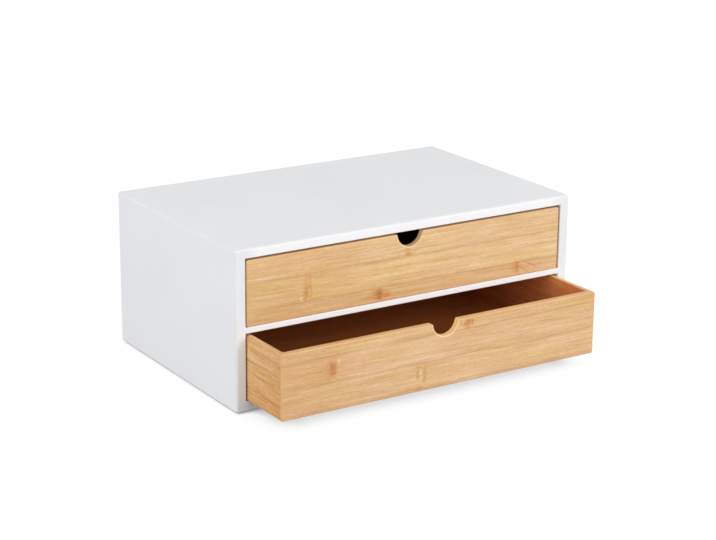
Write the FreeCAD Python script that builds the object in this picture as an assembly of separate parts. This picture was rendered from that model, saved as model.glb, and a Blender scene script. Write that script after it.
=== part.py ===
import FreeCAD, Part
import os

# Desktop mini drawers: a painted cabinet with two bamboo drawers, one above the other.
# Lengths are in millimetres. +X is to the right, +Y to the back and +Z up.
# The origin lies on the desk, under the middle of the cabinet.

# Cabinet boards
cabinet_width = 330.0
cabinet_depth = 208.0
side_thickness = 9.0
top_thickness = 8.0
bottom_thickness = 9.0
shelf_thickness = 5.0
bay_height = 57.0            # clear height for each drawer
outer_edge_radius = 2.0
bay_edge_radius = 0.8

# Shelf ends, held in housings that stop short of the front
housing_depth = 3.0
housing_stop = 10.0
housing_clearance = 0.1

# Dowels between the side boards and the panels above and below them
dowel_radius = 2.5
dowel_side_bite = 12.0       # length of a dowel inside the end of a side board
dowel_panel_share = 0.55     # share of a panel's thickness that a dowel enters
dowel_depth_shares = (0.2, 0.8)
dowel_clearance = 0.05
dowel_end_clearance = 0.4

# Back panel, held in a rebate and stapled
back_thickness = 4.0
rebate_width = 5.0
rebate_clearance = 0.3
staple_crown = 10.0
staple_leg = 12.0
staple_wire_width = 1.2
staple_wire_thickness = 0.6
staple_count_across = 4
staple_count_up = 2

# Pads under the cabinet
pad_thickness = 1.5
pad_width = 12.0
pad_inset = 8.0

# Drawers
drawer_side_gap = 1.2
drawer_top_gap = 1.7
drawer_rear_gap = 0.5
front_recess = 0.5           # how far a closed front lies behind the cabinet's front
front_thickness = 6.0
drawer_corner_radius = 2.0   # along a drawer's outer long edges and round the corners of its front
front_edge_radius = 1.2
front_rear_chamfer = 0.4
drawer_side_thickness = 5.0
drawer_back_thickness = 5.0
drawer_edge_radius = 0.8
upper_drawer_opening = 0.0
lower_drawer_opening = 53.5  # the lower drawer is at rest pulled out by this much

# Finger notch in the top of each front
notch_radius = 12.5
notch_depth = 11.8
notch_shoulder_radius = 1.5

# Drawer corners: the sides end in rebates of the front, and the back lies in rebates of the sides
front_lip = 2.0              # what the front keeps before the ends of the sides
front_lip_clearance = 0.1
side_rebate_depth = 2.5
side_rebate_clearance = 0.1

# Drawer bottoms, held in grooves
drawer_bottom_thickness = 3.0
groove_height = 4.0          # from a drawer's lower edge to its groove
groove_depth = 2.5
groove_clearance = 0.2

# Brads through the sides of a drawer into the ends of its back
brad_length = 16.0
brad_wire = 1.1
brad_head_width = 2.0
brad_head_height = 0.5
brad_height_shares = (0.25, 0.75)

# Worked out from the sizes above
half_width = cabinet_width / 2
half_bay = half_width - side_thickness
front_y = -cabinet_depth / 2
back_y = cabinet_depth / 2
back_panel_y = back_y - back_thickness
under_z = pad_thickness
lower_bay_z = under_z + bottom_thickness
shelf_z = lower_bay_z + bay_height
upper_bay_z = shelf_z + shelf_thickness
bays_top_z = upper_bay_z + bay_height
cabinet_top_z = bays_top_z + top_thickness
half_drawer = half_bay - drawer_side_gap
half_tray = half_drawer - drawer_side_thickness
drawer_height = bay_height - drawer_top_gap
drawer_length = cabinet_depth - back_thickness - front_recess - drawer_rear_gap
overrun = cabinet_depth      # how far a cutting body reaches past what it cuts

along_y = FreeCAD.Vector(0, 1, 0)
along_z = FreeCAD.Vector(0, 0, 1)


def block(x0, x1, y0, y1, z0, z1):
    """A box between two planes on each axis."""
    return Part.makeBox(x1 - x0, y1 - y0, z1 - z0, FreeCAD.Vector(x0, y0, z0))


def side_block(side, inner, outer, y0, y1, z0, z1):
    """A box from inner to outer, measured from the middle to the left (-1) or the right (1)."""
    x0, x1 = sorted((side * inner, side * outer))
    return block(x0, x1, y0, y1, z0, z1)


def edges_where(shape, test):
    """The edges of a shape whose ends and middle all pass a test on a point."""
    picked = []
    for edge in shape.Edges:
        first = edge.FirstParameter
        last = edge.LastParameter
        points = [edge.valueAt(first), edge.valueAt((first + last) / 2), edge.valueAt(last)]
        if all(test(point) for point in points):
            picked.append(edge)
    return picked


def same(a, b):
    """Whether two lengths are the same, but for rounding."""
    return round(a - b, 4) == 0


def between(value, low, high):
    """Whether a length lies between two others, rounding included."""
    return low < value < high or same(value, low) or same(value, high)


def spread(low, high, count):
    """Evenly spaced values between two ends, half a step from each."""
    step = (high - low) / count
    return [low + step / 2 + step * i for i in range(count)]


# Cabinet

def cabinet_form():
    """The whole painted form with both bays, before it is divided into boards."""
    form = block(-half_width, half_width, front_y, back_y, under_z, cabinet_top_z)
    form = form.makeFillet(outer_edge_radius, form.Edges)
    for low, high in ((lower_bay_z, shelf_z), (upper_bay_z, bays_top_z)):
        form = form.cut(block(-half_bay, half_bay, front_y - overrun, back_y + overrun, low, high))
    rims = edges_where(form, lambda point: same(point.y, front_y)
                       and between(point.x, -half_bay, half_bay)
                       and between(point.z, lower_bay_z, bays_top_z))
    form = form.makeFillet(bay_edge_radius, rims)
    rebate = block(-half_bay - rebate_width, half_bay + rebate_width, back_panel_y, back_y + overrun,
                   lower_bay_z - rebate_width, bays_top_z + rebate_width)
    return form.cut(rebate)


def shelf_end(side, reach):
    """One end of the shelf, which enters a side board by reach."""
    return side_block(side, half_bay, half_bay + reach, front_y + housing_stop, back_panel_y,
                      shelf_z, upper_bay_z)


def dowels(clearance=0, end_clearance=0):
    """The dowels across the cabinet's joints, or with clearances the holes that they lie in."""
    upper_bite = top_thickness * dowel_panel_share + end_clearance
    lower_bite = bottom_thickness * dowel_panel_share + end_clearance
    side_bite = dowel_side_bite + end_clearance
    bodies = []
    for x in (-half_width + side_thickness / 2, half_width - side_thickness / 2):
        for share in dowel_depth_shares:
            y = front_y + cabinet_depth * share
            upper = FreeCAD.Vector(x, y, bays_top_z - side_bite)
            lower = FreeCAD.Vector(x, y, lower_bay_z - lower_bite)
            bodies.append(Part.makeCylinder(dowel_radius + clearance, side_bite + upper_bite, upper))
            bodies.append(Part.makeCylinder(dowel_radius + clearance, lower_bite + side_bite, lower))
    return Part.makeCompound(bodies)


def staple(x, z, upright):
    """A flat wire staple driven in from behind, with its crown flush."""
    half_crown = staple_crown / 2
    half_wire = staple_wire_width / 2

    def bar(low, high, depth):
        if upright:
            return block(x - half_wire, x + half_wire, back_y - depth, back_y, z + low, z + high)
        return block(x + low, x + high, back_y - depth, back_y, z - half_wire, z + half_wire)

    crown = bar(-half_crown, half_crown, staple_wire_thickness)
    legs = [bar(-half_crown, staple_wire_thickness - half_crown, staple_leg),
            bar(half_crown - staple_wire_thickness, half_crown, staple_leg)]
    return crown.multiFuse(legs).removeSplitter()


def staples():
    """Staples all round the back panel, in the middle of what laps the boards."""
    middle_x = half_bay + rebate_width / 2
    bodies = []
    for x in spread(-half_bay, half_bay, staple_count_across):
        for z in (lower_bay_z - rebate_width / 2, bays_top_z + rebate_width / 2):
            bodies.append(staple(x, z, False))
    for z in spread(lower_bay_z, bays_top_z, staple_count_up):
        bodies += [staple(-middle_x, z, True), staple(middle_x, z, True)]
    return Part.makeCompound(bodies)


def back_panel():
    half = half_bay + rebate_width - rebate_clearance
    low = lower_bay_z - rebate_width + rebate_clearance
    high = bays_top_z + rebate_width - rebate_clearance
    return block(-half, half, back_panel_y, back_y, low, high)


def foot_pads():
    """A square pad under each corner of the cabinet."""
    outer_x = half_width - pad_inset
    outer_y = cabinet_depth / 2 - pad_inset
    pads = []
    for x in (-outer_x, outer_x - pad_width):
        for y in (-outer_y, outer_y - pad_width):
            pads.append(block(x, x + pad_width, y, y + pad_width, 0, pad_thickness))
    return Part.makeCompound(pads)


def cabinet():
    """The boards, divided from one form so that its rounded edges run on across them."""
    form = cabinet_form()
    across = half_width + overrun
    front = front_y - overrun
    back = back_y + overrun
    boards = {
        "top_panel": form.common(block(-across, across, front, back, bays_top_z, cabinet_top_z + overrun)),
        "bottom_panel": form.common(block(-across, across, front, back, -overrun, lower_bay_z)),
    }
    shelf = form.common(block(-half_bay, half_bay, front, back, shelf_z, upper_bay_z))
    for name, side in (("left_side", -1), ("right_side", 1)):
        board = form.common(side_block(side, half_bay, across, front, back, lower_bay_z, bays_top_z))
        boards[name] = board.cut(shelf_end(side, housing_depth))
        shelf = shelf.fuse(shelf_end(side, housing_depth - housing_clearance))
    boards["middle_shelf"] = shelf.removeSplitter()
    boards["back_panel"] = back_panel()
    holes = dowels(dowel_clearance, dowel_end_clearance)
    fasteners = staples()
    parts = {name: board.cut(holes).cut(fasteners) for name, board in boards.items()}
    parts["corner_dowels"] = dowels()
    parts["back_staples"] = fasteners
    parts["foot_pads"] = foot_pads()
    return parts


# Drawers, each between its front at y0 and its back at y1, standing at height z0

def notch(y0, y1, rim_z):
    """The half-round finger notch, cut down from a front's rim."""
    centre_z = rim_z - notch_depth + notch_radius
    start = FreeCAD.Vector(0, y0, centre_z)
    round_part = Part.makeCylinder(notch_radius, y1 - y0, start, along_y)
    open_part = block(-notch_radius, notch_radius, y0, y1, centre_z, centre_z + overrun)
    return round_part.fuse(open_part)


def front_outline(y0, z0):
    """The front with its rounded corners only. The ends of the sides keep within it."""
    rim_z = z0 + drawer_height
    board = block(-half_drawer, half_drawer, y0, y0 + front_thickness, z0, rim_z)
    corners = edges_where(board, lambda point: same(abs(point.x), half_drawer)
                          and (same(point.z, z0) or same(point.z, rim_z)))
    return board.makeFillet(drawer_corner_radius, corners)


def drawer_front(y0, z0):
    """The front, with its notch, rounded all round in front and rebated behind for the sides."""
    y1 = y0 + front_thickness
    rim_z = z0 + drawer_height
    board = front_outline(y0, z0).cut(notch(y0 - overrun, y1 + overrun, rim_z))
    shoulders = edges_where(board, lambda point: same(point.z, rim_z) and abs(point.x) <= notch_radius)
    board = board.makeFillet(notch_shoulder_radius, shoulders)
    board = board.makeFillet(front_edge_radius, edges_where(board, lambda point: same(point.y, y0)))
    board = board.makeChamfer(front_rear_chamfer, edges_where(board, lambda point: same(point.y, y1)))
    for side in (-1, 1):
        board = board.cut(side_block(side, half_tray, half_tray + overrun, y0 + front_lip, y1 + overrun,
                                     z0 - overrun, rim_z + overrun))
    return board


def drawer_side(y0, y1, z0, side):
    """A side, rounded along its length, with its end in the front and the rebate for the back."""
    front_inner_y = y0 + front_thickness
    rim_z = z0 + drawer_height
    board = side_block(side, half_tray, half_drawer, front_inner_y, y1, z0, rim_z)
    for x, radius in ((half_drawer, drawer_corner_radius), (half_tray, drawer_edge_radius)):
        long_edges = edges_where(board, lambda point: same(abs(point.x), x)
                                 and (same(point.z, z0) or same(point.z, rim_z)))
        board = board.makeFillet(radius, long_edges)
    end = side_block(side, half_tray, half_drawer, y0 + front_lip + front_lip_clearance, front_inner_y,
                     z0, rim_z)
    board = board.fuse(end.common(front_outline(y0, z0))).removeSplitter()
    rebate = side_block(side, half_tray - overrun, half_tray + side_rebate_depth,
                        y1 - drawer_back_thickness, y1 + overrun, z0 - overrun, z0 + overrun)
    return board.cut(rebate)


def drawer_back(y1, z0):
    """The back, whose ends lie in the rebates of the sides."""
    half = half_tray + side_rebate_depth - side_rebate_clearance
    board = block(-half, half, y1 - drawer_back_thickness, y1, z0, z0 + drawer_height)
    rims = [edge for edge in board.Edges if same(edge.Length, 2 * half)]
    return board.makeFillet(drawer_edge_radius, rims)


def bottom_block(y0, y1, z0, reach):
    """The drawer's bottom, which enters the boards round it by reach."""
    low = z0 + groove_height
    return block(-half_tray - reach, half_tray + reach,
                 y0 + front_thickness - reach, y1 - drawer_back_thickness + reach,
                 low, low + drawer_bottom_thickness)


def brads(y1, z0):
    """Brads with flat heads, through the sides into the ends of the back."""
    y = y1 - drawer_back_thickness / 2
    half_wire = brad_wire / 2
    half_head = brad_head_width / 2
    bodies = []
    for share in brad_height_shares:
        z = z0 + drawer_height * share
        for side in (-1, 1):
            shank = side_block(side, half_drawer - brad_length, half_drawer,
                               y - half_wire, y + half_wire, z - half_wire, z + half_wire)
            head = side_block(side, half_drawer - brad_head_height, half_drawer,
                              y - half_wire, y + half_wire, z - half_head, z + half_head)
            bodies.append(shank.fuse(head).removeSplitter())
    return Part.makeCompound(bodies)


def drawer(name, z0, opening):
    """A whole drawer, pulled out by opening."""
    y0 = front_y + front_recess - opening
    y1 = y0 + drawer_length
    boards = {
        "front": drawer_front(y0, z0),
        "left_side": drawer_side(y0, y1, z0, -1),
        "right_side": drawer_side(y0, y1, z0, 1),
        "back": drawer_back(y1, z0),
    }
    groove = bottom_block(y0, y1, z0, groove_depth)
    fasteners = brads(y1, z0)
    parts = {name + "_" + key: board.cut(groove).cut(fasteners) for key, board in boards.items()}
    parts[name + "_bottom"] = bottom_block(y0, y1, z0, groove_depth - groove_clearance)
    parts[name + "_brads"] = fasteners
    return parts


nodes = cabinet()
nodes.update(drawer("upper_drawer", upper_bay_z, upper_drawer_opening))
nodes.update(drawer("lower_drawer", lower_bay_z, lower_drawer_opening))

os.makedirs("parts", exist_ok=True)
for node, shape in nodes.items():
    shape.exportStep("parts/" + node + ".step")
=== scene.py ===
import math
import bpy
from mathutils import Matrix, Vector


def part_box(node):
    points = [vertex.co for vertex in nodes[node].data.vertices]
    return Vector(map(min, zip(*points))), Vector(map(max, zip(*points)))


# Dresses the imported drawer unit: bamboo with its strips, fibres and node marks, matt paint,
# steel, turned wood and foam rubber. Then come the floor, the lights and the camera.
# Lengths are in metres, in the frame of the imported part. The rates of noises and ripples are
# per metre. A colour has three numbers.

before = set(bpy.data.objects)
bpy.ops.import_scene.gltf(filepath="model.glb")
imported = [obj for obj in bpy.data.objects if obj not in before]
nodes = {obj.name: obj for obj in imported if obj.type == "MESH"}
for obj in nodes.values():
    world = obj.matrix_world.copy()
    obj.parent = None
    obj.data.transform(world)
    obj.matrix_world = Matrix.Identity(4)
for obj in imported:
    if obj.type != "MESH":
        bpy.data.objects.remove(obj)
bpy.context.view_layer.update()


# Node trees

class Tree:
    """The nodes of a material or of the world. An input is a number, a colour or an output."""

    def __init__(self, owner):
        owner.use_nodes = True
        self.owner = owner
        self.nodes = owner.node_tree.nodes
        self.links = owner.node_tree.links
        self.nodes.clear()
        self.coordinates = None

    def give(self, socket, value):
        if isinstance(value, bpy.types.NodeSocket):
            self.links.new(value, socket)
        else:
            socket.default_value = (*value, 1) if isinstance(value, tuple) else value

    def add(self, kind, inputs=(), **settings):
        node = self.nodes.new(kind)
        for key, value in settings.items():
            setattr(node, key, value)
        for key, value in dict(inputs).items():
            self.give(node.inputs[key], value)
        return node

    def calc(self, operation, *values):
        return self.add("ShaderNodeMath", enumerate(values), operation=operation).outputs[0]

    def total(self, *values):
        result = values[0]
        for value in values[1:]:
            result = self.calc("ADD", result, value)
        return result

    def product(self, *values):
        result = values[0]
        for value in values[1:]:
            result = self.calc("MULTIPLY", result, value)
        return result

    def weighed(self, *pairs, base=None):
        """The sum of some values, each times its share, on top of the base."""
        parts = [self.product(value, share) for value, share in pairs]
        return self.total(*parts) if base is None else self.total(base, *parts)

    def minus(self, a, b):
        return self.calc("SUBTRACT", a, b)

    def over(self, a, b):
        return self.calc("DIVIDE", a, b)

    def absolute(self, a):
        return self.calc("ABSOLUTE", a)

    def lesser(self, a, b):
        return self.calc("MINIMUM", a, b)

    def greater(self, a, b):
        return self.calc("MAXIMUM", a, b)

    def distance(self, x, y):
        return self.calc("SQRT", self.total(self.product(x, x), self.product(y, y)))

    def vector(self, x, y, z):
        return self.add("ShaderNodeCombineXYZ", {"X": x, "Y": y, "Z": z}).outputs[0]

    def split(self, vector):
        return self.add("ShaderNodeSeparateXYZ", {"Vector": vector}).outputs

    def place(self):
        """The point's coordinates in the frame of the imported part, with every joint at rest."""
        if self.coordinates is None:
            self.coordinates = self.split(self.add("ShaderNodeTexCoord").outputs["Object"])
        return self.coordinates

    def normal(self):
        """The direction that the surface faces, before any relief."""
        return self.split(self.add("ShaderNodeNewGeometry").outputs["True Normal"])

    def noise(self, vector, rate=1.0, detail=2.0, rough=0.5):
        """Soft noise, mostly from 0.3 to 0.7."""
        return self.add("ShaderNodeTexNoise", {
            "Vector": vector, "Scale": rate, "Detail": detail, "Roughness": rough,
        }).outputs[0]

    def ripple(self, vector, rate=1.0, detail=1.0, rough=0.5):
        """The same noise, about 0."""
        return self.minus(self.noise(vector, rate, detail, rough), 0.5)

    def random(self, value):
        """Three fixed random numbers from 0 to 1 for each whole number."""
        node = self.add("ShaderNodeTexWhiteNoise", {"W": value}, noise_dimensions="1D")
        return self.split(node.outputs["Color"])

    def fit(self, value, low, high, out_low=0.0, out_high=1.0, smooth=False):
        """Value from low to high, laid out from out_low to out_high and held at the ends."""
        node = self.add("ShaderNodeMapRange", {
            "Value": value, "From Min": low, "From Max": high, "To Min": out_low, "To Max": out_high,
        }, interpolation_type="SMOOTHSTEP" if smooth else "LINEAR")
        return node.outputs[0]

    def fade(self, value, low, high):
        """1 up to low, falling smoothly to 0 at high."""
        return self.fit(value, low, high, 1.0, 0.0, smooth=True)

    def bell(self, value, width):
        """1 where value is 0, falling away on both sides."""
        share = self.over(value, width)
        return self.calc("EXPONENT", self.product(share, share, -1.0))

    def mix(self, share, a, b, blend="MIX"):
        """Colour a where share is 0, and b where it is 1."""
        mixed = self.add("ShaderNodeMix", {0: share, 6: a, 7: b}, data_type="RGBA", blend_type=blend)
        return mixed.outputs[2]

    def tinted(self, colour, tint, share=1.0):
        """The colour times the tint where share is 1."""
        return self.mix(share, colour, tint, "MULTIPLY")

    def tones(self, value, *stops):
        """Colours along a ramp, each stop a place and a colour."""
        node = self.add("ShaderNodeValToRGB", {"Fac": value})
        elements = node.color_ramp.elements
        while len(elements) < len(stops):
            elements.new(0.5)
        for element, (position, colour) in zip(elements, stops):
            element.position = position
            element.color = (*colour, 1)
        return node.outputs[0]

    def box_edge(self, low, high):
        """How far a point on a box's surface is from the nearest edge of the box."""
        gaps = []
        for value, lo, hi in zip(self.place(), low, high):
            off = self.absolute(self.minus(value, (lo + hi) / 2))
            gaps.append(self.minus((hi - lo) / 2, off))
        a, b, c = gaps
        return self.greater(self.lesser(a, b), self.lesser(self.greater(a, b), c))

    def shown(self):
        """1 on a ray that shows the surface, straight, mirrored or through glass, and else 0."""
        rays = self.add("ShaderNodeLightPath").outputs
        indirect = self.greater(rays["Is Glossy Ray"], rays["Is Transmission Ray"])
        return self.greater(rays["Is Camera Ray"], indirect)

    def end(self, shader, kind="ShaderNodeOutputMaterial"):
        self.links.new(shader.outputs[0], self.add(kind).inputs[0])
        return self.owner

    def surface(self, colour, rough, height, depth, strength=0.5, metallic=0.0, specular=0.5):
        """Ends the tree with a shader that has this colour, gloss and relief."""
        bump = self.add("ShaderNodeBump", {"Height": height, "Distance": depth, "Strength": strength})
        return self.end(self.add("ShaderNodeBsdfPrincipled", {
            "Base Color": colour, "Roughness": rough, "Normal": bump.outputs[0],
            "Metallic": metallic, "Specular IOR Level": specular,
        }))


def wear_material(node, material):
    """The node keeps its shape and takes this material in every slot."""
    slots = nodes[node].material_slots
    if not slots:
        nodes[node].data.materials.append(material)
    for each in slots:
        each.material = material


# Bamboo

FIBRE_TONES = (
    (0.0, (0.575, 0.320, 0.120)),
    (0.35, (0.680, 0.420, 0.185)),
    (0.62, (0.745, 0.490, 0.245)),
    (1.0, (0.820, 0.600, 0.365)),
)
TONE_REACH = 0.16            # the tones cover 0.5 less this to 0.5 more, at a contrast of 1
HONEY = (1.0, 1.0, 0.90)
PINK = (1.0, 0.965, 1.0)
JOINT_BROWN = (0.47, 0.25, 0.095)
EDGE_AMBER = (0.70, 0.385, 0.14)
# Warmer tint of the broad faces, partly painted light: the edges stay paler as if lit from above
BROAD_FACE_WARMTH = (0.955, 0.88, 0.79)
# Painted shade inside a tray: a browner tone, and tones that darken it towards the tray's floor
TRAY_SHADE_BROWN = (0.70, 0.345, 0.125)
TRAY_SHADE_LOW = (0.62, 0.325, 0.205)
TRAY_SHADE_HIGH = (0.95, 0.60, 0.43)
# Painted highlight on a notch's rim, and painted light on the notch's inner face
NOTCH_HIGHLIGHT = (0.97, 0.78, 0.54)
NOTCH_LIGHT_GOLD = (0.90, 0.56, 0.26)
STAINS = {
    "pale": (0.86, 0.68, 0.41),
    "olive": (0.59, 0.365, 0.125),
    "amber": (0.63, 0.28, 0.080),
    "rust": (0.48, 0.175, 0.042),
    "brown": (0.33, 0.125, 0.035),
}
STAIN_STRENGTH = 1.2
STAIN_RIM = (0.15, 1.7)      # squared distances, in half sizes, between which a stain fades

# Length and width of the forms in each layer of the grain, and the layers' shares in the tone
LAYERS = {
    "clouds": (0.050, 0.0065),
    "strands": (0.060, 0.0013),
    "threads": (0.022, 0.00060),
    "flecks": (0.0040, 0.00080),
    "pores": (0.0065, 0.00040),
    "hues": (0.055, 0.012),
}
LAYER_SHARES = {"clouds": 0.20, "strands": 0.31, "threads": 0.26, "flecks": 0.23}
STRIP_SHARE = 0.04           # the share of a strip's own tone in the same sum
STRIP_LIFT = (0.965, 1.03)
STRIP_GOLD = (0.90, 1.06)
STRIP_SHIFT = 3.0            # the most that a strip's grain is moved, so that no two are alike

# How much of a colour lies over the grain where its mask is full
DASH_SHARE = 0.32
JOINT_SHARE = 0.48
SOFT_JOINT_SHARE = 0.34
LINE_SHARE = 0.55
END_SHARE = 0.30
# Painted shade in the trays
TRAY_SHADE_SHARE = 0.30
EDGE_SHARE = 0.36
# Painted shade on a front's upper face, and painted light inside its notch
UPPER_FACE_SHADE_SHARE = 0.35
NOTCH_LIGHT_SHARE = 0.80

DRIFT_RATES = (9.0, 30.0)    # along and across, as in every pair of rates here
DRIFT = 0.0030
SWIRL_RATE = 150.0
SWIRL = 0.007
JOINT_WIDTH = 0.00036
SOFT_JOINT_WIDTH = 0.0015
JOINT_RATE = 22.0
JOINT_EVERYWHERE = 0.15      # what shows of a joint where it is weakest

LINE_WIDTH = 0.0008
LINE_GAP = 0.005             # between the two lines of a made-up mark
LINE_DARK = 0.48             # and how strong they are
FIRST_LINE = 0.6             # the strength of a mark's first line beside its second
LINE_BOW_RATE = 90.0
LINE_BOW = 0.006
LINE_FRAY_RATE = 1100.0
LINE_FRAY = 0.003
LINE_PATCH_RATE = 330.0
LINE_OVERSHOOT = 0.0008      # past the strip's joints, where a line fades out
LINE_FADE = 0.0014           # and how far inside them that begins
MARK_REACH = 0.009           # how far from a mark its fibres are crooked
MARK_SEED_STEP = 1.37
BLOT_ALONG_RATES = (420.0, 420.0)
BLOT_ALONG = 0.0075
BLOT_ACROSS_RATES = (300.0, 500.0)
BLOT_ACROSS = 0.0050
STREAK_RATES = (150.0, 800.0)

EDGE_BAND = (0.0004, 0.0030)
EDGE_PATCH_RATE = 42.0
NOTCH_BAND = (0.0003, 0.0018)
NOTCH_HIGHLIGHT_SPAN = (-0.006, 0.008)    # across the notch, from the side with the full painted highlight to the side with less
BAMBOO_ROUGHNESS = 0.46
BAMBOO_RELIEF = 0.00010


def plain_mark(at, low, high, width=0.0034):
    """A made-up node mark across one strip: its lines, a stain, a core and a few flecks."""
    middle = (low + high) / 2
    half = (high - low) / 2
    return {
        "at": at, "low": low, "high": high, "gap": LINE_GAP, "dark": LINE_DARK,
        "blots": (
            ("amber", at, middle, width * 1.5, half * 0.95, 0.36, 0.0),
            ("rust", at + width * 0.3, middle - half * 0.25, width * 0.6, half * 0.5, 0.36, 0.0),
            ("amber", at - width * 1.6, middle + half * 0.35, width * 1.2, half * 0.12, 0.28, 0.2),
            ("pale", at + width * 1.5, middle + half * 0.3, width * 0.6, half * 0.3, 0.24, 0.0),
        ),
    }


def lifted(marks, base):
    """Marks whose heights are given from a board's lower edge, placed in the frame."""
    moved = []
    for mark in marks:
        blots = tuple((tone, u, v + base, *rest) for tone, u, v, *rest in mark["blots"])
        moved.append({**mark, "low": mark["low"] + base, "high": mark["high"] + base, "blots": blots})
    return tuple(moved)


class Bamboo(Tree):
    """Laminated bamboo on a board: strips side by side across one axis, fibres along another.

    On the board, u runs along the fibres, v across the strips and w through the thickness.
    """

    def __init__(self, node, along, across, seed, strip, start):
        super().__init__(bpy.data.materials.new(node + "_bamboo"))
        self.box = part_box(node)
        self.at = dict(zip("XYZ", self.place()))
        self.facing = dict(zip("XYZ", self.normal()))
        self.along = along
        self.through = next(axis for axis in "XYZ" if axis not in (along, across))
        self.u, self.v, self.w = self.at[along], self.at[across], self.at[self.through]
        self.seed = seed
        step = self.over(self.minus(self.v, start), strip)
        self.index = self.calc("FLOOR", step)
        part = self.minus(step, self.index)
        self.off_joint = self.product(self.lesser(part, self.minus(1.0, part)), strip)
        self.chance = self.random(self.total(self.index, seed))

    def rated(self, along_rate, across_rate):
        return self.product(self.u, along_rate), self.product(self.v, across_rate)

    def stretched(self, rates):
        return self.vector(*self.rated(*rates), self.seed)

    def mark_lines(self, mark, seed):
        """The two thin broken lines that a node leaves across a strip, and how near they are."""
        low, high = mark["low"], mark["high"]
        bow = self.ripple(self.vector(seed, self.product(self.v, LINE_BOW_RATE), seed * 0.7))
        fray = self.ripple(self.vector(seed * 0.3, self.product(self.v, LINE_FRAY_RATE), seed))
        shift = self.weighed((bow, LINE_BOW), (fray, LINE_FRAY))
        off = self.total(self.minus(self.u, mark["at"]), shift)
        window = self.product(
            self.fit(self.v, low - LINE_OVERSHOOT, low + LINE_FADE, smooth=True),
            self.fade(self.v, high - LINE_FADE, high + LINE_OVERSHOOT),
        )
        patches = self.noise(self.vector(self.u, self.v, seed), LINE_PATCH_RATE)
        first = self.bell(self.total(off, mark["gap"] / 2), LINE_WIDTH)
        second = self.bell(self.minus(off, mark["gap"] / 2), LINE_WIDTH)
        pair = self.greater(self.product(first, FIRST_LINE), second)
        lines = self.product(window, self.fit(patches, 0.40, 0.62), pair)
        return lines, self.product(window, self.bell(off, MARK_REACH))

    def blot_mask(self, u, v, centre_u, centre_v, half_u, half_v, share, slant):
        """A soft oval stain; the slant shears it along the strip."""
        across = self.minus(u, centre_u)
        up = self.total(self.minus(v, centre_v), self.product(across, slant))
        a = self.over(across, half_u)
        b = self.over(up, half_v)
        square = self.total(self.product(a, a), self.product(b, b))
        return self.fit(square, *STAIN_RIM, share * STAIN_STRENGTH, 0.0, smooth=True)

    def read_marks(self, marks):
        """Masks of the node marks' lines, of what lies near them, and of each tone of stain."""
        self.lines = self.near = 0.0
        for number, mark in enumerate(marks):
            lines, near = self.mark_lines(mark, self.seed + number * MARK_SEED_STEP)
            self.lines = self.greater(self.lines, self.product(lines, mark["dark"]))
            self.near = self.greater(self.near, near)

        shift_u = self.ripple(self.stretched(BLOT_ALONG_RATES), detail=2.0, rough=0.6)
        along, across = self.rated(*BLOT_ACROSS_RATES)
        shift_v = self.ripple(self.vector(along, self.seed, across), detail=2.0, rough=0.6)
        ragged_u = self.total(self.u, self.product(shift_u, BLOT_ALONG))
        ragged_v = self.total(self.v, self.product(shift_v, BLOT_ACROSS))
        self.stains = {}
        for mark in marks:
            for tone, *shape in mark["blots"]:
                mask = self.blot_mask(ragged_u, ragged_v, *shape)
                self.stains[tone] = self.greater(self.stains.get(tone, 0.0), mask)

    def grow_fibres(self):
        """The grain's layers. Fibres run nearly straight, more crooked beside a node mark."""
        drift = self.ripple(self.stretched(DRIFT_RATES))
        swirl = self.ripple(self.vector(self.u, self.v, self.seed), SWIRL_RATE)
        bent = self.total(self.v, self.product(drift, DRIFT), self.product(swirl, self.near, SWIRL))
        moved = self.product(self.chance[0], STRIP_SHIFT)
        own_u = self.total(self.u, moved)
        own_v = self.total(bent, moved)
        self.layers = {}
        for name, (length, width) in LAYERS.items():
            stretched = self.vector(self.over(own_u, length), self.over(own_v, width),
                                    self.over(self.w, width))
            self.layers[name] = self.noise(stretched, detail=1.0, rough=0.55)

    def colour_fibres(self, contrast):
        """Tones of the grain, honey to pink, with dark vascular bundles as dashes and dots."""
        shares = [(self.layers[name], share) for name, share in LAYER_SHARES.items()]
        body = self.weighed(*shares, (self.minus(self.chance[1], 0.5), STRIP_SHARE))
        reach = TONE_REACH / contrast
        self.colour = self.tones(self.fit(body, 0.5 - reach, 0.5 + reach), *FIBRE_TONES)
        hue = self.fit(self.layers["hues"], 0.36, 0.64)
        self.colour = self.tinted(self.colour, self.tones(hue, (0.0, HONEY), (1.0, PINK)))
        self.dashes = self.fit(self.layers["pores"], 0.60, 0.72)
        self.colour = self.mix(self.product(self.dashes, DASH_SHARE), self.colour, JOINT_BROWN)

    def colour_strips(self, tone, tints):
        """A tone for each strip by chance, and the given tints along the strips that have some."""
        lift = self.fit(self.chance[2], 0.0, 1.0, *(tone * end for end in STRIP_LIFT))
        gold = self.fit(self.chance[1], 0.0, 1.0, *STRIP_GOLD)
        own = self.add("ShaderNodeCombineColor",
                       {"Red": lift, "Green": lift, "Blue": self.product(lift, gold)})
        self.colour = self.tinted(self.colour, own.outputs[0])
        for number, stops in tints.items():
            first, last = stops[0][0], stops[-1][0]
            ramp = self.tones(self.fit(self.u, first, last),
                              *(((at - first) / (last - first), tint) for at, tint in stops))
            here = self.calc("COMPARE", self.index, float(number), 0.5)
            self.colour = self.tinted(self.colour, ramp, here)

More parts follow.
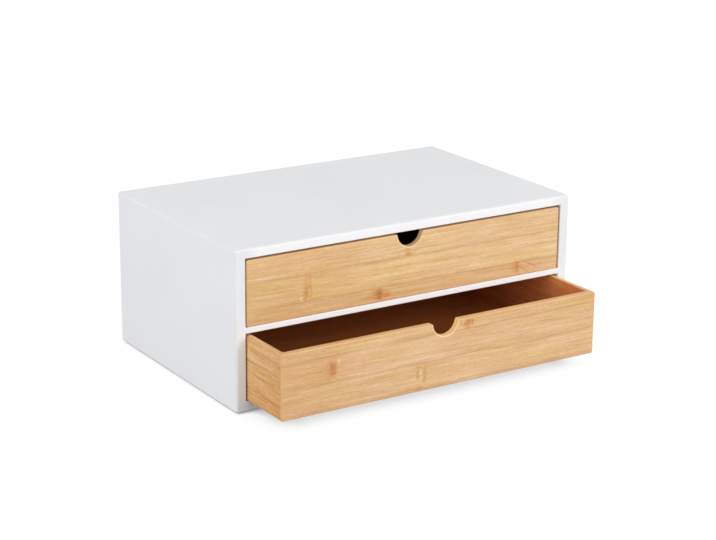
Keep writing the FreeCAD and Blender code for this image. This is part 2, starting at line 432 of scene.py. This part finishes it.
    def glue(self):
        """Glue lines between the strips, strong in places."""
        broken = self.vector(self.product(self.u, JOINT_RATE), self.index, self.seed)
        strong = self.fit(self.noise(broken), 0.40, 0.66)
        self.joint = self.bell(self.off_joint, JOINT_WIDTH)
        soft_joint = self.bell(self.off_joint, SOFT_JOINT_WIDTH)
        both = self.weighed((self.joint, JOINT_SHARE), (soft_joint, SOFT_JOINT_SHARE))
        share = self.product(self.total(strong, JOINT_EVERYWHERE), both)
        self.colour = self.mix(share, self.colour, JOINT_BROWN)

    def stain(self):
        """The node marks' stains, streaked along the fibres, then their lines."""
        streaks = self.fit(self.noise(self.stretched(STREAK_RATES)), 0.38, 0.60, 0.5, 1.0)
        for tone, colour in STAINS.items():
            if tone in self.stains:
                self.colour = self.mix(self.product(self.stains[tone], streaks), self.colour, colour)
        self.colour = self.mix(self.product(self.lines, LINE_SHARE), self.colour, STAINS["brown"])

    def darken_ends(self):
        """End grain takes the finish deeper."""
        self.end_grain = self.fit(self.absolute(self.facing[self.along]), 0.75, 0.98)
        self.colour = self.mix(self.product(self.end_grain, END_SHARE), self.colour, EDGE_AMBER)

    def shade_tray(self, axis, way, floor_z, rim_z):
        """Painted shade on the tray's side: a browner tone, darker towards its floor."""
        hidden = self.fit(self.product(self.facing[axis], way), 0.5, 0.95)
        self.colour = self.mix(self.product(hidden, TRAY_SHADE_SHARE), self.colour, TRAY_SHADE_BROWN)
        shade = self.tones(self.fit(self.at["Z"], floor_z, rim_z), (0.0, TRAY_SHADE_LOW), (0.9, TRAY_SHADE_HIGH))
        self.colour = self.tinted(self.colour, shade, hidden)

    def ease_edges(self):
        """The eased edges are a shade deeper, in patches."""
        self.patchy = self.noise(self.vector(*self.at.values()), EDGE_PATCH_RATE, 3.0)
        self.worn = self.product(self.fade(self.box_edge(*self.box), *EDGE_BAND),
                                 self.fit(self.patchy, 0.36, 0.62, 0.35, 1.0))
        self.colour = self.mix(self.product(self.worn, EDGE_SHARE), self.colour, EDGE_AMBER)

    def light_and_shade_notch(self, radius, centre_z):
        """Painted shade on a front's upper face, and painted light on its notch: a highlight on the
        rim, stronger on one side, and a lit gold on its inner face.
        """
        # Painted shade on the upper face
        upper = self.fit(self.facing["Z"], 0.7, 0.98)
        self.colour = self.mix(self.product(upper, UPPER_FACE_SHADE_SHARE), self.colour, EDGE_AMBER)
        away = self.distance(self.at["X"], self.minus(self.at["Z"], centre_z))
        rim = self.fade(self.absolute(self.minus(away, radius)), *NOTCH_BAND)
        outward = self.fit(self.facing["Y"], -0.9, -0.4, 1.0, 0.0)
        highlight_span = self.product(self.fit(self.patchy, 0.34, 0.60, 0.35, 0.70),
                               self.fit(self.at["X"], *NOTCH_HIGHLIGHT_SPAN, 1.0, 0.4))
        self.colour = self.mix(self.product(rim, outward, highlight_span), self.colour, NOTCH_HIGHLIGHT)
        within = self.minus(1.0, outward)
        self.colour = self.mix(self.product(rim, within, NOTCH_LIGHT_SHARE), self.colour, NOTCH_LIGHT_GOLD)

    def warm_faces(self, share):
        """Warmer broad faces: partly the board's tone, partly painted light, as the edges stay paler as
        if lit from above.
        """
        flat = self.fit(self.absolute(self.facing[self.through]), 0.3, 0.9)
        self.colour = self.tinted(self.colour, BROAD_FACE_WARMTH, self.product(flat, share))

    def finished(self):
        rough = self.weighed((self.layers["strands"], 0.12), (self.dashes, 0.10),
                             (self.end_grain, 0.12), (self.worn, -0.06), base=BAMBOO_ROUGHNESS)
        height = self.weighed((self.layers["strands"], 0.50), (self.layers["threads"], 0.30),
                              (self.dashes, -0.35), (self.joint, -0.50), (self.lines, -0.25))
        return self.surface(self.colour, rough, height, BAMBOO_RELIEF, specular=0.35)


def wear_bamboo(node, along, across, seed, strip, start, marks, tray, contrast,
                tints=(), tone=1.0, warm=0.0, notch=None):
    """Dresses a board.

    Strips of one width start at a joint on the axis across. Tray is the axis and sense of the tray's
    side and the heights of its floor and rim, which place its painted shade; notch is the notch's
    radius and height, which place its painted light and shade.
    """
    board = Bamboo(node, along, across, seed, strip, start)
    board.read_marks(marks)
    board.grow_fibres()
    board.colour_fibres(contrast)
    board.colour_strips(tone, dict(tints))
    board.glue()
    board.stain()
    board.darken_ends()
    board.shade_tray(*tray)
    board.ease_edges()
    if notch:
        board.light_and_shade_notch(*notch)
    if warm:
        board.warm_faces(warm)
    wear_material(node, board.finished())


# Paint

PAINT_TONES = (
    (0.0, (0.805, 0.815, 0.832)),
    (0.5, (0.822, 0.831, 0.846)),
    (1.0, (0.836, 0.843, 0.856)),
)
# The darker brown a little way into the bays
BAY_BROWN_TONES = (
    (0.0, (0.34, 0.225, 0.135)),
    (0.6, (0.44, 0.305, 0.19)),
    (1.0, (0.52, 0.38, 0.25)),
)
SPECK_GREY = (0.60, 0.60, 0.60)
# Painted shade on the rounded outer edges
EDGE_SHADE_PAINT = (0.715, 0.72, 0.73)
RUBBED_PAINT = (0.72, 0.66, 0.58)
# Painted highlight on the panels' front edges, and painted shade on the sides' front ends
PANEL_EDGE_HIGHLIGHT = (0.885, 0.880, 0.882)
SIDE_END_SHADE = (0.74, 0.745, 0.76)
CLOUD_RATE = 11.0
WEAR_RATE = 55.0
ROLLER_RATE = 420.0
SPECK_RATE = 700.0
FLUFF_RATE = 900.0
FINE_RATE = 1500.0
SPECK_SHARE = 0.10
EDGE_SHADE_SHARE = 0.85
RUBBED_SHARE = 0.14
PANEL_EDGE_LIGHT_SHARE = 0.80
SIDE_END_SHADE_SHARE = 0.55
MOUTH_BAND = (0.0001, 0.0004)      # from a bay's wall outwards, where its inside ends
EDGE_SHADE_BAND = (0.0007, 0.0022)
RUBBED_BAND = (0.0002, 0.0012)
SIDE_END_BAND = (-0.012, 0.002)    # from the inner face of a side, across which the panels' painted highlight turns into the side's painted shade
BAY_BROWN_BAND = (0.0005, 0.0065)       # into a bay, where the white turns to brown
BAY_BROWN_RAGGED = 0.006
BACK_BAND = (0.0005, 0.0015)       # into the back panel, where the brown gives way to white
PAINT_ROUGHNESS = 0.46
PAINT_RELIEF = 0.00006


def paint(name, box, bays, half_bay, panel_depth):
    """Matt white paint with a fine roller texture, which turns to a darker brown a little way into the
    bays.

    Each bay is the height of its floor and of its ceiling, half_bay their half width, and
    panel_depth the depth of the back panel's face.
    """
    tree = Tree(bpy.data.materials.new(name))
    x, y, z = tree.place()
    here = tree.vector(x, y, z)
    depth = tree.minus(y, box[0].y)
    outer = tree.box_edge(*box)
    edge = outer
    inside = 0.0
    past_x = tree.minus(tree.absolute(x), half_bay)
    for low, high in bays:
        past_z = tree.minus(tree.absolute(tree.minus(z, (low + high) / 2)), (high - low) / 2)
        outside = tree.greater(past_x, past_z)
        inside = tree.greater(inside, tree.fit(outside, *MOUTH_BAND, 1.0, 0.0))
        edge = tree.lesser(edge, tree.greater(tree.absolute(outside), depth))

    clouds = tree.noise(here, CLOUD_RATE, 3.0)
    roller = tree.noise(here, ROLLER_RATE, 3.0, 0.6)
    colour = tree.tones(tree.fit(clouds, 0.3, 0.7), *PAINT_TONES)
    specks = tree.fit(tree.noise(here, SPECK_RATE, 1.0), 0.70, 0.76)
    colour = tree.mix(tree.product(specks, SPECK_SHARE), colour, SPECK_GREY)

    # Painted shade darkens the rounded outer edges, and hands rub the edges
    patchy = tree.fit(tree.noise(here, WEAR_RATE, 4.0, 0.62), 0.40, 0.66, 0.6, 1.0)
    edge_shade = tree.product(tree.fade(outer, *EDGE_SHADE_BAND), patchy)
    colour = tree.mix(tree.product(edge_shade, EDGE_SHADE_SHARE), colour, EDGE_SHADE_PAINT)
    worn = tree.product(tree.fade(edge, *RUBBED_BAND), patchy)
    colour = tree.mix(tree.product(worn, RUBBED_SHARE), colour, RUBBED_PAINT)

    # Painted light and shade on the front faces: the panels' edges, the shelf's among them, painted
    # whiter, and the sides' ends darker
    facing = tree.fit(tree.normal()[1], -0.98, -0.8, 1.0, 0.0)
    of_side = tree.fit(tree.absolute(x), *(half_bay + reach for reach in SIDE_END_BAND), smooth=True)
    front_light_and_shade = tree.mix(of_side, PANEL_EDGE_HIGHLIGHT, SIDE_END_SHADE)
    front_light_share = tree.fit(of_side, 0.0, 1.0, PANEL_EDGE_LIGHT_SHARE, SIDE_END_SHADE_SHARE)
    colour = tree.mix(tree.product(facing, front_light_share), colour, front_light_and_shade)

    # A little way into each bay the white turns to a ragged darker brown, which darkens the bays and
    # the gaps around the drawers
    ragged = tree.total(depth, tree.product(tree.minus(roller, 0.5), BAY_BROWN_RAGGED))
    in_front = tree.fit(depth, *(panel_depth + reach for reach in BACK_BAND), 1.0, 0.0)
    bay_brown = tree.product(inside, tree.fit(ragged, *BAY_BROWN_BAND, smooth=True), in_front)
    fluff = tree.noise(here, FLUFF_RATE, 4.0, 0.65)
    board = tree.tones(tree.fit(tree.weighed((fluff, 0.6), (clouds, 0.4)), 0.36, 0.62), *BAY_BROWN_TONES)
    colour = tree.mix(bay_brown, colour, board)

    rough = tree.weighed((roller, 0.12), (clouds, 0.06), (edge_shade, 0.08), (bay_brown, 0.30),
                         base=PAINT_ROUGHNESS)
    fine = tree.noise(here, FINE_RATE, 2.0)
    height = tree.total(tree.weighed((roller, 0.6), (fine, 0.4)), tree.product(bay_brown, fluff, 0.5))
    return tree.surface(colour, rough, height, PAINT_RELIEF, specular=0.3)


# Small parts

STEEL_TONES = ((0.0, (0.44, 0.43, 0.40)), (0.55, (0.60, 0.60, 0.58)), (1.0, (0.68, 0.68, 0.67)))
DRAWN_RATE = 2600.0
TARNISH_RATE = 320.0
STEEL_RELIEF = 0.00003

DOWEL_TONES = ((0.0, (0.60, 0.44, 0.27)), (1.0, (0.76, 0.61, 0.42)))
DOWEL_FLECK = (0.42, 0.27, 0.15)
RING_RATES = (900.0, 900.0, 60.0)
FLECK_RATES = (2600.0, 2600.0, 420.0)
DOWEL_RELIEF = 0.0001

PAD_TONES = ((0.0, (0.20, 0.20, 0.20)), (1.0, (0.36, 0.36, 0.355)))
CELL_RATE = 2300.0
PAD_CLOUD_RATE = 180.0
PAD_RELIEF = 0.0002


def steel(name):
    """Steel wire, drawn along its length and a little tarnished."""
    tree = Tree(bpy.data.materials.new(name))
    here = tree.vector(*tree.place())
    drawn = tree.noise(here, DRAWN_RATE, 3.0)
    tarnish = tree.noise(here, TARNISH_RATE, 3.0)
    colour = tree.tones(tree.fit(tarnish, 0.3, 0.72), *STEEL_TONES)
    rough = tree.fit(tree.weighed((drawn, 0.5), (tarnish, 0.5)), 0.3, 0.7, 0.26, 0.48)
    return tree.surface(colour, rough, drawn, STEEL_RELIEF, metallic=1.0)


def turned_wood(name):
    """Pale turned wood of the dowels, its grain along Z."""
    tree = Tree(bpy.data.materials.new(name))

    def grain(rates, detail):
        stretched = (tree.product(value, rate) for value, rate in zip(tree.place(), rates))
        return tree.noise(tree.vector(*stretched), detail=detail)

    rings = grain(RING_RATES, 3.0)
    flecks = grain(FLECK_RATES, 1.0)
    colour = tree.tones(tree.fit(rings, 0.3, 0.7), *DOWEL_TONES)
    colour = tree.mix(tree.fit(flecks, 0.62, 0.72, 0.0, 0.35), colour, DOWEL_FLECK)
    rough = tree.fit(rings, 0.3, 0.7, 0.62, 0.74)
    return tree.surface(colour, rough, rings, DOWEL_RELIEF, strength=0.4)


def pad(name):
    """Grey foam rubber with a fine open texture."""
    tree = Tree(bpy.data.materials.new(name))
    here = tree.vector(*tree.place())
    cells = tree.noise(here, CELL_RATE, 3.0, 0.6)
    clouds = tree.noise(here, PAD_CLOUD_RATE, 2.0)
    both = tree.weighed((cells, 0.6), (clouds, 0.4))
    colour = tree.tones(tree.fit(both, 0.35, 0.65), *PAD_TONES)
    rough = tree.fit(cells, 0.3, 0.7, 0.72, 0.9)
    return tree.surface(colour, rough, cells, PAD_RELIEF, strength=0.6)


# The cabinet

panel_boxes = [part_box(name) for name in ("top_panel", "bottom_panel")]
cabinet_low = Vector((min(low[axis] for low, high in panel_boxes) for axis in range(3)))
cabinet_high = Vector((max(high[axis] for low, high in panel_boxes) for axis in range(3)))
half_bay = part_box("right_side")[0].x
shelf_low, shelf_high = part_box("middle_shelf")
bays = (
    (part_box("bottom_panel")[1].z, shelf_low.z),
    (shelf_high.z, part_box("top_panel")[0].z),
)
panel_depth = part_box("back_panel")[0].y - cabinet_low.y
white = paint("matt_white_paint", (cabinet_low, cabinet_high), bays, half_bay, panel_depth)
for node in ("left_side", "right_side", "top_panel", "bottom_panel", "middle_shelf", "back_panel"):
    wear_material(node, white)
wear_material("corner_dowels", turned_wood("turned_dowel_wood"))
wire = steel("drawn_steel_wire")
for node in ("back_staples", "upper_drawer_brads", "lower_drawer_brads"):
    wear_material(node, wire)
wear_material("foot_pads", pad("foam_rubber"))


# The drawers

# A mark's low and high ends and the heights of its blots are above the board's lower edge. A
# blot is its tone, its centre along and up, its half sizes along and up, its share and its slant.
FRONT_MARKS = {
    "upper_drawer": (
        {"at": -0.0990, "low": 0.0128, "high": 0.0354, "gap": 0.0045, "dark": 0.55, "blots": (
            ("amber", -0.0990, 0.0250, 0.0044, 0.0108, 0.42, 0.0),
            ("rust", -0.0998, 0.0210, 0.0018, 0.0046, 0.42, 0.0),
            ("rust", -0.1012, 0.0162, 0.0014, 0.0028, 0.40, 0.0),
            ("olive", -0.0880, 0.0322, 0.0040, 0.0014, 0.50, 0.1),
            ("pale", -0.1050, 0.0155, 0.0016, 0.0022, 0.40, 0.0),
        )},
        {"at": -0.0010, "low": 0.0356, "high": 0.0430, "gap": 0.0040, "dark": 0.15, "blots": (
            ("olive", -0.0016, 0.0408, 0.0036, 0.0022, 0.75, 0.0),
            ("amber", -0.0012, 0.0371, 0.0044, 0.0015, 0.80, 0.0),
            ("amber", 0.0040, 0.0385, 0.0022, 0.0016, 0.25, 0.0),
        )},
        {"at": -0.0300, "low": 0.0, "high": 0.0124, "gap": 0.0030, "dark": 0.6, "blots": (
            ("amber", -0.0293, 0.0062, 0.0105, 0.0048, 0.72, 0.0),
            ("amber", -0.0362, 0.0117, 0.0042, 0.0008, 0.50, 0.12),
            ("rust", -0.0302, 0.0074, 0.0038, 0.0050, 0.72, 0.0),
            ("rust", -0.0232, 0.0048, 0.0042, 0.0014, 0.45, 0.0),
            ("brown", -0.0300, 0.0058, 0.0016, 0.0030, 0.60, 0.0),
        )},
        {"at": 0.1112, "low": 0.0, "high": 0.0124, "gap": 0.0030, "dark": 0.4, "blots": (
            ("amber", 0.1100, 0.0080, 0.0052, 0.0060, 0.60, 0.0),
            ("rust", 0.1114, 0.0084, 0.0015, 0.0046, 0.50, 0.0),
            ("rust", 0.1186, 0.0046, 0.0050, 0.0008, 0.65, 0.57),
            ("rust", 0.1250, 0.0088, 0.0080, 0.0009, 0.45, 0.53),
            ("olive", 0.1225, 0.0052, 0.0065, 0.0012, 0.45, 0.55),
            ("olive", 0.1240, 0.0128, 0.0120, 0.0009, 0.50, 0.0),
        )},
    ),
    "lower_drawer": (
        {"at": -0.1080, "low": 0.0256, "high": 0.0446, "gap": 0.0040, "dark": 0.5, "blots": (
            ("amber", -0.1090, 0.0356, 0.0060, 0.0080, 0.60, 0.0),
            ("amber", -0.1170, 0.0345, 0.0050, 0.0008, 0.50, -0.15),
            ("amber", -0.1150, 0.0302, 0.0045, 0.0008, 0.42, 0.25),
            ("rust", -0.1078, 0.0350, 0.0030, 0.0054, 0.62, 0.0),
            ("brown", -0.1090, 0.0388, 0.0012, 0.0018, 0.45, 0.0),
            ("pale", -0.1025, 0.0405, 0.0016, 0.0030, 0.40, 0.0),
        )},
        {"at": -0.0240, "low": 0.0056, "high": 0.0240, "gap": 0.0065, "dark": 0.7, "blots": (
            ("pale", -0.0240, 0.0160, 0.0018, 0.0022, 0.65, 0.0),
            ("olive", -0.0200, 0.0140, 0.0024, 0.0078, 0.62, 0.0),
            ("amber", -0.0272, 0.0165, 0.0014, 0.0060, 0.55, 0.0),
            ("amber", -0.0258, 0.0212, 0.0030, 0.0010, 0.50, 0.2),
            ("amber", -0.0320, 0.0030, 0.0095, 0.0020, 0.45, 0.0),
            ("rust", -0.0250, 0.0026, 0.0028, 0.0020, 0.40, 0.0),
        )},
        {"at": 0.0238, "low": 0.0466, "high": 0.0550, "gap": 0.0050, "dark": 0.5, "blots": (
            ("amber", 0.0222, 0.0505, 0.0052, 0.0042, 0.72, 0.0),
            ("amber", 0.0145, 0.0515, 0.0018, 0.0024, 0.40, 0.0),
            ("rust", 0.0215, 0.0515, 0.0028, 0.0026, 0.55, 0.0),
            ("brown", 0.0266, 0.0510, 0.0009, 0.0034, 0.50, 0.0),
            ("amber", 0.0330, 0.0532, 0.0040, 0.0008, 0.45, 0.0),
        )},
    ),
}
FRONT_STRIP = {"upper_drawer": 0.0230, "lower_drawer": 0.0220}
FRONT_JOINT = {"upper_drawer": 0.0126, "lower_drawer": 0.0024}     # the lowest, above the lower edge
# Tones of each front's strips, from left to right. Strip 0 lies on the lowest joint
FRONT_TINTS = {
    "upper_drawer": {
        1: ((-0.156, (1.03, 1.055, 1.16)), (-0.09, (1.04, 1.075, 1.21)), (-0.04, (1.06, 1.14, 1.35)),
            (0.156, (1.06, 1.13, 1.37))),
        0: ((-0.156, (0.99, 1.01, 1.12)), (-0.09, (1.025, 1.03, 1.03)), (-0.03, (1.06, 1.10, 1.23)),
            (0.156, (1.08, 1.17, 1.36))),
        -1: ((-0.156, (0.93, 0.93, 0.96)), (-0.03, (0.925, 0.925, 0.94)), (0.05, (0.96, 0.955, 1.06)),
             (0.156, (0.98, 0.975, 1.08))),
    },
    "lower_drawer": {
        2: ((-0.156, (0.92, 0.89, 0.89)), (-0.06, (0.98, 0.97, 1.10)), (0.156, (0.98, 0.97, 1.06))),
        1: ((-0.156, (0.93, 0.885, 0.91)), (-0.118, (0.91, 0.83, 0.78)), (-0.085, (0.99, 0.965, 1.13)),
            (-0.035, (1.02, 1.045, 1.27)), (0.02, (0.97, 0.965, 1.09)), (0.156, (0.99, 0.995, 1.09))),
        0: ((-0.156, (0.96, 0.89, 0.96)), (-0.10, (0.975, 0.955, 1.06)), (-0.02, (1.0, 1.0, 1.10)),
            (0.02, (1.03, 1.06, 1.24)), (0.06, (1.015, 1.015, 1.14)), (0.156, (1.035, 1.045, 1.21))),
        -1: ((-0.156, (0.97, 0.93, 0.96)), (0.156, (0.99, 0.96, 1.0))),
    },
}
NOTCH_RADIUS = 0.0125
NOTCH_RISE = 0.0007          # from a front's rim up to the centre of its notch

SIDE_STRIP = 0.0224
SIDE_JOINT = 0.0130          # the lowest, above the lower edge
# Tones of a side's strips, numbered in the same way, behind the front and past the tint's reach. The
# rise towards the back is painted light, against the shade near the cabinet
SIDE_TINTS_AND_LIGHT = {
    1: ((1.00, 0.93, 0.87), (1.09, 1.08, 1.10)),
    0: ((1.05, 0.97, 0.89), (1.15, 1.13, 1.18)),
    -1: ((0.90, 0.71, 0.48), (1.07, 0.95, 0.83)),
}
SIDE_TINT_REACH = 0.045
SIDE_UPPER_MARK = 0.62       # its place, as a share of the side's length
SIDE_LOWER_MARK_ENDS = (0.0132, 0.0354)
SIDE_LOWER_MARK_WIDTH = 0.0042

BACK_STRIP = 0.0220
BACK_JOINT = 0.018
BACK_MARKS = (-0.082, 0.064, 0.118)     # places of the marks of the middle, lower and upper strip
BOTTOM_STRIP = 0.024
BOTTOM_MARKS = ((-0.096, 1), (0.052, 2), (-0.020, 4), (0.112, 5), (-0.070, 7))     # place, strip

# Contrast of the grain, tone, and how much warmer the broad faces are
FRONT_CONTRAST = 0.86
SIDE_LOOK = {"contrast": 1.9, "tone": 0.99, "warm": 1.0}
BACK_LOOK = {"contrast": 1.3, "tone": 0.98, "warm": 0.6}
BOTTOM_LOOK = {"contrast": 1.3, "tone": 0.97, "warm": 0.6}

FIRST_SEED = 11.0
DRAWER_SEED_STEP = 40.0
SIDE_SEED = 5.0
SIDE_SEED_STEP = 2.0
BACK_SEED = 13.0
BOTTOM_SEED = 19.0


def dress_front(drawer, seed, tray):
    name = drawer + "_front"
    low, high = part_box(name)
    wear_bamboo(name, "X", "Z", seed, FRONT_STRIP[drawer], low.z + FRONT_JOINT[drawer],
                lifted(FRONT_MARKS[drawer], low.z), ("Y", 1, *tray), FRONT_CONTRAST,
                tints=FRONT_TINTS[drawer], notch=(NOTCH_RADIUS, high.z + NOTCH_RISE))


def dress_side(name, seed, tray, way, lower_mark):
    low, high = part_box(name)
    length = high.y - low.y
    foot, head = SIDE_LOWER_MARK_ENDS
    tints = {strip: ((low.y, near), (low.y + SIDE_TINT_REACH, far))
             for strip, (near, far) in SIDE_TINTS_AND_LIGHT.items()}
    marks = (
        plain_mark(low.y + length * SIDE_UPPER_MARK, head, high.z - low.z),
        plain_mark(low.y + length * lower_mark, foot, head, SIDE_LOWER_MARK_WIDTH),
    )
    wear_bamboo(name, "Y", "Z", seed + SIDE_SEED + SIDE_SEED_STEP * way, SIDE_STRIP,
                low.z + SIDE_JOINT, lifted(marks, low.z), ("X", way, *tray),
                tints=tints, **SIDE_LOOK)


def dress_back(name, seed, tray):
    low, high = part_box(name)
    upper_joint = BACK_JOINT + BACK_STRIP
    middle_mark, lower_mark, upper_mark = BACK_MARKS
    marks = (
        plain_mark(middle_mark, BACK_JOINT, upper_joint),
        plain_mark(lower_mark, 0.0, BACK_JOINT),
        plain_mark(upper_mark, upper_joint, high.z - low.z),
    )
    wear_bamboo(name, "X", "Z", seed + BACK_SEED, BACK_STRIP, low.z + BACK_JOINT,
                lifted(marks, low.z), ("Y", -1, *tray), **BACK_LOOK)


def dress_bottom(name, seed, tray):
    """A bottom's whole face lies at the tray's floor, and takes a painted shade from halfway up its
    ramp.
    """
    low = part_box(name)[0]
    floor_z, rim_z = tray
    marks = tuple(plain_mark(at, BOTTOM_STRIP * strip, BOTTOM_STRIP * (strip + 1))
                  for at, strip in BOTTOM_MARKS)
    wear_bamboo(name, "X", "Y", seed + BOTTOM_SEED, BOTTOM_STRIP, low.y,
                lifted(marks, low.y), ("Z", 1, 2 * floor_z - rim_z, rim_z), **BOTTOM_LOOK)


for number, drawer in enumerate(("upper_drawer", "lower_drawer")):
    seed = FIRST_SEED + DRAWER_SEED_STEP * number
    tray = (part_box(drawer + "_bottom")[1].z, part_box(drawer + "_front")[1].z)
    dress_front(drawer, seed, tray)
    dress_side(drawer + "_left_side", seed, tray, 1, lower_mark=0.80)
    dress_side(drawer + "_right_side", seed, tray, -1, lower_mark=0.35)
    dress_back(drawer + "_back", seed, tray)
    dress_bottom(drawer + "_bottom", seed, tray)


# Floor

FLOOR_REACH = 8.0
FLOOR_TONES = ((0.0, (0.24, 0.24, 0.243)), (1.0, (0.26, 0.26, 0.263)))
FLOOR_CLOUD_RATE = 3.0
FLOOR_WHITE = (0.82, 1.0)          # what the floor shows near the object and far away
FLOOR_WHITE_BAND = (0.40, 1.5)
CONTACT_REACH = 0.03               # the object darkens the floor this near to it
CONTACT_BAND = (0.04, 0.31)
CONTACT_DARK = 0.38


def floor_material():
    """Pale floor: white to the camera, more surely so far away, with the object's shadow kept."""
    tree = Tree(bpy.data.materials.new("pale_floor"))
    x, y, z = tree.place()
    clouds = tree.noise(tree.vector(x, y, z), FLOOR_CLOUD_RATE)
    colour = tree.tones(tree.fit(clouds, 0.3, 0.7), *FLOOR_TONES)
    level = tree.fit(tree.distance(x, y), *FLOOR_WHITE_BAND, *FLOOR_WHITE, smooth=True)
    open_sky = tree.add("ShaderNodeAmbientOcclusion", {"Distance": CONTACT_REACH}, samples=16)
    contact = tree.fit(open_sky.outputs["AO"], *CONTACT_BAND, CONTACT_DARK, 1.0, smooth=True)
    strength = tree.product(tree.shown(), level, contact)
    matt = tree.add("ShaderNodeBsdfDiffuse", {"Color": colour})
    glow = tree.add("ShaderNodeEmission", {"Strength": strength})
    return tree.end(tree.add("ShaderNodeAddShader", {0: matt.outputs[0], 1: glow.outputs[0]}))


floor_mesh = bpy.data.meshes.new("floor")
floor_corners = [(x * FLOOR_REACH, y * FLOOR_REACH, 0) for x, y in ((-1, -1), (1, -1), (1, 1), (-1, 1))]
floor_mesh.from_pydata(floor_corners, [], [(0, 1, 2, 3)])
floor_mesh.materials.append(floor_material())
floor = bpy.data.objects.new("floor", floor_mesh)
bpy.context.scene.collection.objects.link(floor)


# Lights

AIM = Vector((0, 0, 0.07))
# Each lamp's name, place, width, height, power and colour
LAMPS = (
    ("key_light", (0.50, -1.90, 0.70), 1.8, 1.1, 21.4, (1, 1, 1)),
    ("left_fill", (-1.90, -0.60, 0.35), 1.6, 1.0, 20.4, (0.97, 0.98, 1.0)),
    ("right_fill", (1.95, -0.35, 0.35), 1.6, 1.0, 14.0, (1, 1, 1)),
    ("back_fill", (-0.55, 2.10, 0.35), 1.6, 1.0, 13.0, (1, 1, 1)),
)
WORLD_LIGHT = 0.66           # what lights the object
WORLD_WHITE = 1.0            # what is seen

for name, place, width, height, power, colour in LAMPS:
    light = bpy.data.lights.new(name, "AREA")
    light.shape = "RECTANGLE"
    light.size = width
    light.size_y = height
    light.energy = power
    light.color = colour
    lamp = bpy.data.objects.new(name, light)
    lamp.location = place
    lamp.rotation_euler = (AIM - Vector(place)).to_track_quat("-Z", "Y").to_euler()
    bpy.context.scene.collection.objects.link(lamp)

room = Tree(bpy.data.worlds.new("pale_room"))
strength = room.fit(room.shown(), 0.0, 1.0, WORLD_LIGHT, WORLD_WHITE)
background = room.add("ShaderNodeBackground", {"Color": (1, 1, 1), "Strength": strength})
bpy.context.scene.world = room.end(background, "ShaderNodeOutputWorld")


# Camera

YAW, PITCH, ROLL = (math.radians(angle) for angle in (32.72398778, 17.32827949, 0.55262142))
CAMERA_PLACE = Vector((-0.86658, -1.37263, 0.5744))
SENSOR_WIDTH = 36.0          # in millimetres, as the lens
LENS = 97.8414

ahead = Vector((math.sin(YAW) * math.cos(PITCH), math.cos(YAW) * math.cos(PITCH), -math.sin(PITCH)))
level_right = Vector((math.cos(YAW), -math.sin(YAW), 0))
level_up = level_right.cross(ahead)
right = level_right * math.cos(ROLL) + level_up * math.sin(ROLL)
up = level_up * math.cos(ROLL) - level_right * math.sin(ROLL)
turn = Matrix((right, up, -ahead)).transposed()

camera_data = bpy.data.cameras.new("camera")
camera_data.sensor_width = SENSOR_WIDTH
camera_data.lens = LENS
camera_data.clip_start = 0.05
camera_data.clip_end = 60.0
camera = bpy.data.objects.new("camera", camera_data)
camera.matrix_world = Matrix.Translation(CAMERA_PLACE) @ turn.to_4x4()
bpy.context.scene.collection.objects.link(camera)
bpy.context.scene.camera = camera
bpy.context.scene.view_settings.view_transform = "Standard"
